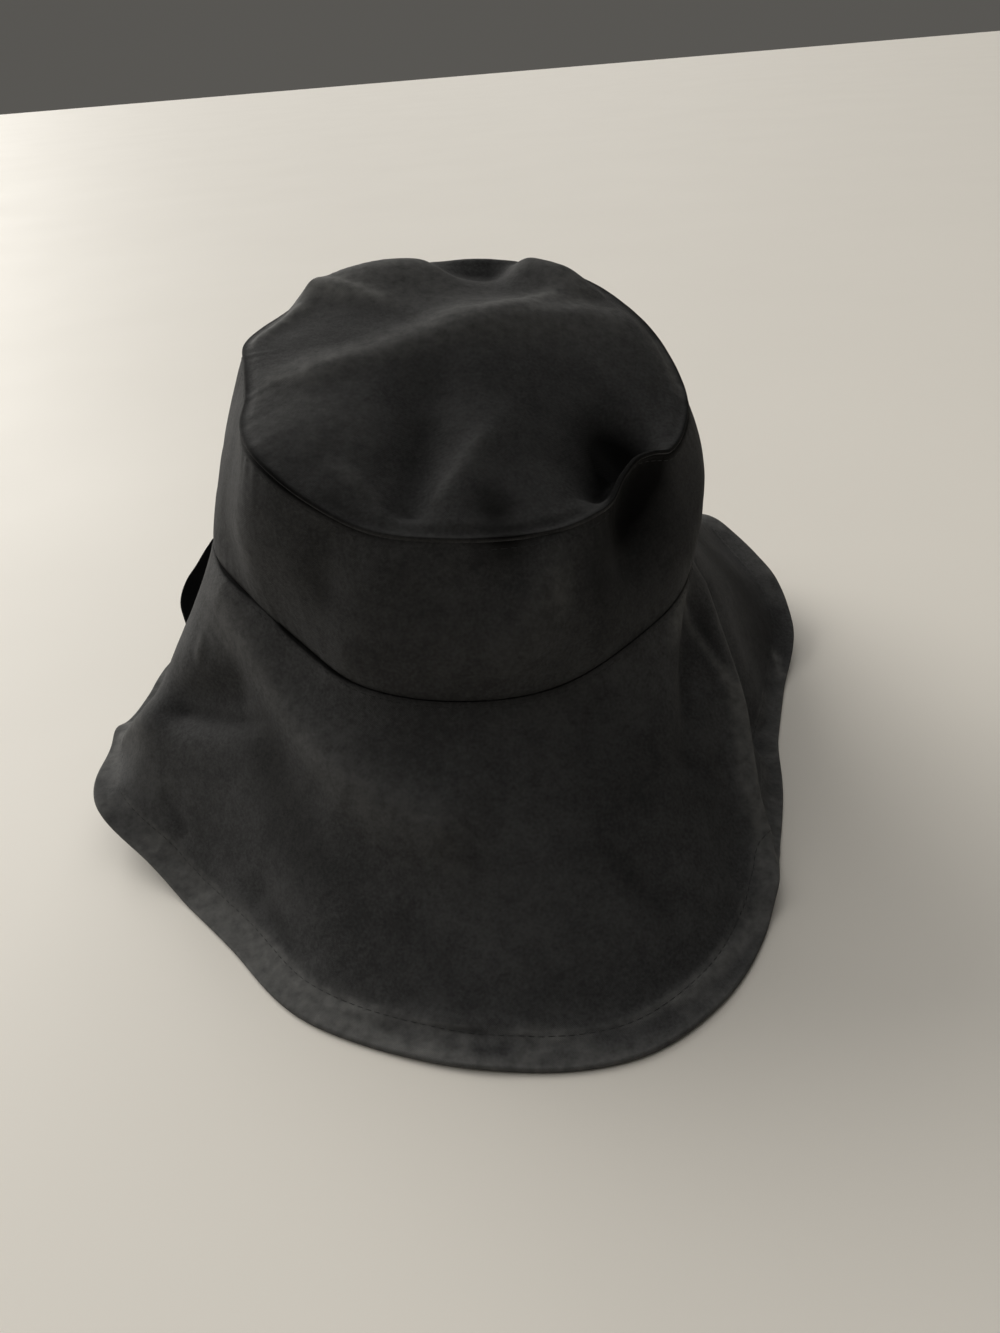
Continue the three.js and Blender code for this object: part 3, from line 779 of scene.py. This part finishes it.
def cloth_material(name, look, tone):
    """Matt woven cloth: fine plain weave, cloudy and speckled tone, and the painted highlights (with
    rubbed wear on crests) and painted shade of its places.
    """
    dye = Dye(name)
    place = dye.wire("ShaderNodeTexCoord", {}, {}, "Object")
    grain = dye.wire("ShaderNodeUVMap", {"uv_map": "grain"}, {}, "UV")
    split = dye.node("ShaderNodeSeparateXYZ", {}, {"Vector": grain})
    turns = 2 * math.pi / look.thread_pitch
    warp = (Wire(dye, split.outputs[0]) * turns).sine()
    weft = (Wire(dye, split.outputs[1]) * turns).sine()
    weave = warp * weft
    cloud = dye.noise(place, look.cloud_scale, 3)
    patches = dye.noise(place, 3 * look.cloud_scale, 3)
    fine = dye.noise(place, 9 * look.cloud_scale, 2)
    speckle = dye.noise(place, 28 * look.cloud_scale, 2)
    fluff = dye.noise(place, 90 * look.cloud_scale, 2)
    # reads the attribute of painted highlights, painted shade and the crests' rubbed wear
    light_shade_and_wear = dye.wire("ShaderNodeAttribute", {"attribute_name": "light_shade_and_wear"}, {}, "Fac")
    dark = [tone * part for part in look.cloth_colour]
    light = [tone * part for part in look.light_colour]
    tone_noise = 1.3 * cloud + patches + 0.8 * fine + 1.5 * speckle + fluff + 0.2 * weave
    base = dye.tint((0.5 + tone_noise).kept(), dark, light)
    # positive places are mixed to a painted highlight (with rubbed wear on crests), negative places to
    # painted shade
    painted_lightening = (light_shade_and_wear * look.highlight_strength * (1 + 2 * fine)).kept()
    base = dye.tint(painted_lightening, base, look.highlight_and_wear_colour)
    base = dye.tint((0 - light_shade_and_wear).kept(), base, look.painted_shade_colour)
    height = 0.5 * weave + 1.2 * fluff + 2.5 * fine
    normal = dye.wire(
        "ShaderNodeBump", {}, {"Height": height, "Distance": look.thread_pitch * 0.2, "Strength": 0.6}
    )
    return dye.finish({
        "Base Color": base,
        "Roughness": (look.roughness + 0.12 * cloud + 0.08 * weave).kept(),
        "Normal": normal,
        "Sheen Weight": look.sheen,
        "Sheen Roughness": 0.45,
        "Specular IOR Level": 0.1,
    })


def thread_material(name, look):
    """Slightly glossier twisted thread."""
    dye = Dye(name)
    place = dye.wire("ShaderNodeTexCoord", {}, {}, "Object")
    twist = dye.noise(place, TWIST_SCALE, 1)
    dark = [0.8 * part for part in look.cloth_colour]
    base = dye.tint((0.5 + 1.4 * twist).kept(), dark, look.cloth_colour)
    normal = dye.wire("ShaderNodeBump", {}, {"Height": twist, "Distance": 0.0001, "Strength": 0.5})
    return dye.finish({
        "Base Color": base,
        "Roughness": (0.72 + 0.2 * twist).kept(),
        "Normal": normal,
        "Specular IOR Level": 0.3,
    })


def kept_material(name, make, *values):
    """The material of that name, made once."""
    return bpy.data.materials.get(name) or make(name, *values)


def finish_panel(piece, node):
    """Attaches a panel of cloth to the hat's body and hides the CAD part that it was cut from."""
    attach(piece, BODY)
    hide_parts(node)


def length(name, description, default):
    """A property that holds metres."""
    return FloatProperty(name=name, description=description, default=default, unit="LENGTH")


def factor(name, description, default):
    """A property with a slider from none to all."""
    return FloatProperty(name=name, description=description, default=default, subtype="FACTOR")


def colour(name, description, default):
    """A property that holds a colour."""
    return FloatVectorProperty(
        name=name, description=description, default=default, subtype="COLOR", size=3
    )


class HatSizes(bpy.types.PropertyGroup):
    """Sizes of the hat."""

    head_radius: length("Head radius", "Half of the head opening", 0.093)
    seam_height: length("Seam height", "Usual height of the head seam", 0.09)
    top_radius: length("Top radius", "Half of the crown's top panel", 0.08)
    crown_height: length("Crown height", "From the head seam to the top fold", 0.11)
    brim_reach: length("Brim reach", "From the head seam to the hem", 0.08)
    crown_cloth: length("Crown cloth", "Thickness of the crown's cloth", 0.0016)
    brim_cloth: length("Brim cloth", "Thickness of the brim's two layers", 0.002)
    seam_gap: length("Seam gap", "Between two panels at their seam", 0.0003)
    hem_width: length("Hem width", "Width of the turned hem", 0.013)
    stitch_pitch: length("Stitch pitch", "From one stitch to the next", 0.0032)
    stitch_length: length("Stitch length", "Length of a stitch", 0.0025)
    thread_thickness: length("Thread", "Thickness of the thread", 0.00024)


class HatCloth(bpy.types.PropertyGroup):
    """Colours and finish of the cloth."""

    cloth_colour: colour("Cloth", "Darker tone of the cloth", (0.0265, 0.0268, 0.0278))
    light_colour: colour("Light tone", "Lighter tone of the cloth", (0.053, 0.0534, 0.0545))
    # colour of the painted highlights on crests, hem and streaks, with the crests' rubbed wear
    highlight_and_wear_colour: colour("Worn", "Tone of rubbed crests and edges", (0.15, 0.15, 0.147))
    # colour of the painted shade in creases, seam grooves and dark hollows
    painted_shade_colour: colour("Creases", "Tone of deep creases, which never faded", (0.002, 0.002, 0.0021))
    roughness: factor("Roughness", "Roughness of the cloth", 0.82)
    sheen: factor("Sheen", "Soft shine at grazing angles", 0.02)
    # strength of the painted highlights and of the crests' rubbed wear
    highlight_strength: factor("Wear", "How much the crests are rubbed", 0.5)
    thread_pitch: length("Thread pitch", "Two threads of the weave", 0.0007)
    cloud_scale: FloatProperty(
        name="Cloud scale", description="Clouds of tone per metre", default=30)


class HatStage(bpy.types.PropertyGroup):
    """Floor and light."""

    floor_colour: colour("Floor", "Colour of the floor", (0.83, 0.795, 0.735))
    sky_colour: colour("Room", "Colour of the light all round", (0.75, 0.72, 0.66))
    room_light: FloatProperty(
        name="Room light", description="Strength of the light all round", default=0.13)
    key_light: FloatProperty(
        name="Key light", description="Strength of the low light from the left and behind", default=2.2)
    soft_light: FloatProperty(
        name="Soft light", description="Strength of the wide light from the left and behind", default=1.7)


def hat_of(scene):
    """The sizes, the cloth and the pattern of a scene's hat."""
    return scene.sun_hat_sizes, scene.sun_hat_cloth, Pattern(scene.sun_hat_sizes)


class SUNHAT_OT_brim(bpy.types.Operator):
    """Makes the brim with its folds, its turned hem and the hem's stitches"""

    bl_idname = "sun_hat.brim"
    bl_label = "Brim"

    def execute(self, context):
        sizes, look, pattern = hat_of(context.scene)
        turns = np.arange(COLUMNS) * 360 / COLUMNS
        azimuth, share = np.broadcast_arrays(turns[None, :], close_rows(BRIM_ROWS)[:, None])
        plain = pattern.brim(azimuth, share)
        normal = outwards(pattern.brim, azimuth, share)
        fade = np.sqrt(np.sin(np.pi * np.minimum(share, 0.5)))
        height_of = partial(fold_height, plain, normal, pattern.brim, sizes.brim_reach)
        large = height_of(BRIM_FOLDS)
        small = height_of(BRIM_CREASES)
        skin = plain + normal * (fade * (large + small + uneven(plain, BRIM_SLACK)))[..., None]
        skin[0, :, 2] -= sizes.seam_gap
        skin[1:, :, 2] = np.maximum(skin[1:, :, 2], sizes.brim_cloth)
        skin[:, :, 2] = np.minimum(skin[:, :, 2], skin[:1, :, 2])
        facing = grid_normals(skin)
        from_seam, from_hem = depths(skin)
        # The cloth lies flat where it meets the surface
        flat = ease(FLAT_START, FLAT_END, share)[..., None]
        through = unit(normal * (1 - flat) + np.array((0, 0, 1)) * flat)
        under = skin - through * sizes.brim_cloth
        under[:, :, 2] = np.maximum(under[:, :, 2], 0)
        on_hem = 1 - ease(sizes.hem_width - HEM_STEP, sizes.hem_width + HEM_STEP, from_hem)
        stitch_depth = sizes.hem_width - HEM_STITCH_INSET
        relief = HEM_RISE * on_hem
        relief -= HEM_GROOVE_DEPTH * np.exp(-(((from_hem - stitch_depth) / HEM_GROOVE_WIDTH) ** 2))
        wavy = waves(azimuth, HEM_WAVES, 11) * ease(0, HEM_WAVE_START, from_hem)
        relief += HEM_WAVE_HEIGHT * on_hem * wavy
        relief += height_of(HEM_PUCKERS)
        relief += puckers(azimuth, from_seam, BRIM_PUCKERS) + uneven(plain, BRIM_LUMPS)
        relief -= back_seam(azimuth, BRIM_BACK_RADIUS)
        relief = np.maximum(relief, -DEEPEST_RELIEF * sizes.brim_cloth)
        groove = np.where(from_seam < from_hem, around(HEAD_GROOVE, 1, azimuth), 1)
        edge = turned_edge(np.minimum(from_seam, from_hem), sizes.brim_cloth / 2, groove)
        outer = skin + facing * relief[..., None] - through * edge[..., None]
        lowest = np.minimum(sizes.brim_cloth * LOWEST_OUTER, skin[:, :, 2])
        outer[:, :, 2] = np.maximum(outer[:, :, 2], lowest)
        inner = close_edges(outer, under + through * edge[..., None])
        outer[0, :, 2] += sizes.seam_gap + SEAM_TONGUE
        # painted highlight on crests, and painted shade in creases and seam grooves
        light_shade_and_wear = FOLD_LIGHT_AND_SHADE * highlight_and_shade_of(small + BRIM_FOLD_HIGHLIGHT_SHADE * large) * fade + seam_groove_shade(from_seam, groove)
        # painted highlights and painted shade of the brim's table
        light_shade_and_wear += height_of(BRIM_PAINTED_LIGHT_AND_SHADE) / sizes.brim_reach
        # painted highlight on the hem's edge and on its band, in uneven patches
        painted_lightening = HEM_EDGE_HIGHLIGHT * np.exp(-from_hem / HEM_EDGE_WIDTH)
        painted_lightening += HEM_BAND_HIGHLIGHT * on_hem * (1 + uneven(plain, HEM_HIGHLIGHT_PATCHES))
        light_shade_and_wear += painted_lightening * np.clip(1 + 2 * light_shade_and_wear, 0, 1)
        walked = band_walk(from_seam)
        angle = np.radians(np.broadcast_to(turns, walked.shape))
        radius = sizes.head_radius + walked
        grain = np.stack([radius * np.sin(angle), radius * np.cos(angle)], -1)
        cloth = kept_material("woven_brim_cloth", cloth_material, look, BRIM_TONE)
        piece = band_piece("soft_brim", outer, inner, grain, 0, np.clip(light_shade_and_wear, -1, 1), cloth)
        finish_panel(piece, "brim")
        stitch_row("hem_stitches", outer, facing, from_hem, stitch_depth, sizes, look)
        stitch_row(
            "head_seam_stitches", outer, facing, from_seam, SEAM_STITCH_DEPTH, sizes, look
        )
        return {"FINISHED"}


class SUNHAT_OT_side(bpy.types.Operator):
    """Makes the side of the crown and the stitches along its upper seam"""

    bl_idname = "sun_hat.side"
    bl_label = "Side of the crown"

    def execute(self, context):
        sizes, look, pattern = hat_of(context.scene)
        turns = np.arange(COLUMNS) * 360 / COLUMNS + 180
        azimuth, share = np.broadcast_arrays(turns[None, :], close_rows(SIDE_ROWS)[:, None])
        plain = pattern.side(azimuth, share)
        normal = outwards(pattern.side, azimuth, share)
        fade = np.sqrt(np.maximum(np.sin(np.pi * share), 0))
        height_of = partial(fold_height, plain, normal, pattern.side, sizes.head_radius)
        large = height_of(SIDE_FOLDS)
        small = height_of(SIDE_CREASES)
        skin = plain + normal * (fade * (large + small + uneven(plain, SIDE_SLACK)))[..., None]
        facing = grid_normals(skin)
        from_low, from_high = depths(skin)
        through = polar(azimuth, 1, 0)
        under = skin - through * sizes.crown_cloth
        nearest = np.minimum(from_low, from_high)
        relief = puckers(azimuth, nearest, SIDE_PUCKERS) + uneven(plain, SIDE_LUMPS)
        relief -= back_seam(azimuth, sizes.head_radius)
        low_groove = around(HEAD_GROOVE, 1, azimuth)
        groove = np.where(from_low < from_high, low_groove, around(TOP_GROOVE, 1, azimuth))
        edge = turned_edge(nearest, sizes.crown_cloth / 2, groove)
        relief *= ease(0, SIDE_RELIEF_START, nearest)
        outer = skin + facing * relief[..., None] - through * edge[..., None]
        inner = close_edges(outer, under + through * edge[..., None])
        outer[-1, :, 2] += sizes.seam_gap + SEAM_TONGUE
        # painted highlight on crests, and painted shade in creases and seam grooves
        light_shade_and_wear = FOLD_LIGHT_AND_SHADE * highlight_and_shade_of(small + CROWN_FOLD_HIGHLIGHT_SHADE * large) * fade + seam_groove_shade(nearest, groove)
        # painted highlights and painted shade of the side's table
        light_shade_and_wear += height_of(SIDE_PAINTED_LIGHT_AND_SHADE) / sizes.head_radius
        walked = band_walk(from_low)
        length = 2 * math.pi * sizes.head_radius
        around_way = np.broadcast_to(np.arange(COLUMNS) / COLUMNS * length, walked.shape)
        grain = np.stack([around_way, walked], -1)
        cloth = kept_material("woven_side_cloth", cloth_material, look, CROWN_TONE)
        piece = band_piece("soft_crown_side", outer, inner, grain, length, light_shade_and_wear, cloth)
        finish_panel(piece, "crown_side")
        stitch_row(
            "top_seam_stitches", outer, facing, from_high, SEAM_STITCH_DEPTH, sizes, look
        )
        return {"FINISHED"}


class SUNHAT_OT_top(bpy.types.Operator):
    """Makes the slack top panel of the crown with its folds and dents"""

    bl_idname = "sun_hat.top"
    bl_label = "Top of the crown"

    def execute(self, context):
        sizes, look, pattern = hat_of(context.scene)
        line = np.linspace(-1, 1, TOP_CELLS + 1)
        across_way, back = np.meshgrid(line, line, indexing="ij")
        square = np.maximum(np.abs(across_way), np.abs(back))
        with np.errstate(divide="ignore", invalid="ignore"):
            flat_turn = np.where(across_way == 0, 0, back / across_way) * 45
            steep_turn = 90 - np.where(back == 0, 0, across_way / back) * 45
        turn = np.where(np.abs(across_way) >= np.abs(back), flat_turn + 180 * (across_way < 0),
                        steep_turn + 180 * (back < 0))
        share = 1 - (1 - square) ** TOP_CROWDING
        azimuth = turn + 90
        plain = pattern.top(azimuth, share)
        plan = plain * (1, 1, 0)
        upwards = np.broadcast_to((0.0, 0.0, 1.0), plain.shape)
        fade = np.minimum(1, (1 - share) * TOP_FOLD_FADE)
        height_of = partial(fold_height, plan, upwards, pattern.plan, sizes.top_radius)
        large = height_of(TOP_FOLDS)
        small = height_of(TOP_CREASES)
        skin = plain.copy()
        skin[..., 2] += fade * (large + small + uneven(plain, TOP_SLACK))
        rim = pattern.top_seam(azimuth)[..., 2]
        settled = ease(TOP_RIM_START, TOP_RIM_END, share)
        skin[..., 2] += (rim - skin[..., 2]) * settled
        groove = around(TOP_GROOVE, 1, azimuth)
        skin[..., 2] += sizes.seam_gap * np.clip(groove, TOP_LEAST_GAP, 1) + sizes.crown_cloth
        depth = (1 - share) * np.linalg.norm(pattern.top_seam(azimuth)[..., :2], axis=-1)
        relief = puckers(azimuth, depth, TOP_PUCKERS) + uneven(plain, TOP_LUMPS)
        edge = turned_edge(depth, sizes.crown_cloth / 2, groove)
        outer = skin + upwards * (relief - edge)[..., None]
        inner = skin + upwards * (edge - sizes.crown_cloth)[..., None]
        # painted highlight on crests, and painted shade in creases and the seam's groove
        light_shade_and_wear = FOLD_LIGHT_AND_SHADE * highlight_and_shade_of(small + CROWN_FOLD_HIGHLIGHT_SHADE * large) * fade
        light_shade_and_wear += seam_groove_shade(depth, np.maximum(groove, TOP_SEAM_OPENNESS))
        # painted highlights and painted shade of the top's table
        light_shade_and_wear += height_of(TOP_PAINTED_LIGHT_AND_SHADE) / sizes.top_radius
        cloth = kept_material("woven_top_cloth", cloth_material, look, CROWN_TONE)
        piece = disc_piece("soft_crown_top", outer, inner, plan[..., :2], light_shade_and_wear, cloth)
        finish_panel(piece, "crown_top")
        return {"FINISHED"}


def far_lamp(name, row, strength):
    """A soft light that comes from one side over the whole scene."""
    source, softness, colour = row
    lamp = bpy.data.lights.new(name, "SUN")
    lamp.energy = strength
    lamp.angle = softness
    lamp.color = colour
    placed(name, lamp).rotation_euler = (-Vector(source)).to_track_quat("-Z", "Y").to_euler()


class SUNHAT_OT_stage(bpy.types.Operator):
    """Makes the floor, the lamps, the room's light and the camera"""

    bl_idname = "sun_hat.stage"
    bl_label = "Stage"

    def execute(self, context):
        stage = context.scene.sun_hat_stage
        mesh = bpy.data.meshes.new("floor")
        corners = [(x * FLOOR_HALF, y * FLOOR_HALF, 0) for x, y in ((-1, -1), (1, -1), (1, 1), (-1, 1))]
        mesh.from_pydata(corners, [], [(0, 1, 2, 3)])
        dye = Dye("floor_paint")
        place = dye.wire("ShaderNodeTexCoord", {}, {}, "Object")
        cloud = dye.noise(place, 4, 3)
        pale = [FLOOR_PALE * part for part in stage.floor_colour]
        base = dye.tint((0.5 + cloud).kept(), stage.floor_colour, pale)
        mesh.materials.append(dye.finish({"Base Color": base, "Roughness": (0.55 + 0.1 * cloud).kept()}))
        placed("floor", mesh)
        far_lamp("key_lamp", KEY_LAMP, stage.key_light)
        far_lamp("soft_lamp", SOFT_LAMP, stage.soft_light)
        world = bpy.data.worlds.new("room")
        world.use_nodes = True
        light = world.node_tree.nodes["Background"]
        light.inputs["Color"].default_value = (*stage.sky_colour, 1)
        light.inputs["Strength"].default_value = stage.room_light
        context.scene.world = world
        context.scene.view_settings.view_transform = "Standard"
        camera = bpy.data.cameras.new("photo_camera")
        camera.sensor_fit = "VERTICAL"
        camera.sensor_height = CAMERA_SENSOR
        camera.lens = CAMERA_LENS
        camera.clip_start = 0.01
        tilt = Matrix.Rotation(math.pi / 2 - CAMERA_PITCH, 4, "X")
        roll = Matrix.Rotation(-CAMERA_ROLL, 4, "Z")
        eye = placed("photo_camera", camera)
        eye.matrix_world = Matrix.Translation(CAMERA_PLACE) @ tilt @ roll
        context.scene.camera = eye
        return {"FINISHED"}


class SUNHAT_PT_panel(bpy.types.Panel):
    """Lists the hat's sizes, its finish and its pieces"""

    bl_label = "Sun hat"
    bl_idname = "SUNHAT_PT_panel"
    bl_space_type = "VIEW_3D"
    bl_region_type = "UI"
    bl_category = "Sun hat"

    def draw(self, context):
        for label in GROUPS:
            group = getattr(context.scene, label)
            box = self.layout.box()
            for name in group.bl_rna.properties.keys():
                if name not in ("rna_type", "name"):
                    box.prop(group, name)
        for operator in OPERATORS:
            self.layout.operator(operator.bl_idname)


OPERATORS = (SUNHAT_OT_stage, SUNHAT_OT_brim, SUNHAT_OT_side, SUNHAT_OT_top)
GROUPS = {"sun_hat_sizes": HatSizes, "sun_hat_cloth": HatCloth, "sun_hat_stage": HatStage}
CLASSES = (*GROUPS.values(), *OPERATORS, SUNHAT_PT_panel)


def register():
    for kind in CLASSES:
        bpy.utils.register_class(kind)
    for name, kind in GROUPS.items():
        setattr(bpy.types.Scene, name, PointerProperty(type=kind))


def unregister():
    for name in GROUPS:
        delattr(bpy.types.Scene, name)
    for kind in reversed(CLASSES):
        bpy.utils.unregister_class(kind)


def main():
    register()
    bpy.ops.sun_hat.stage()
    bpy.ops.sun_hat.brim()
    bpy.ops.sun_hat.side()
    bpy.ops.sun_hat.top()


if __name__ == "__main__":
    main()
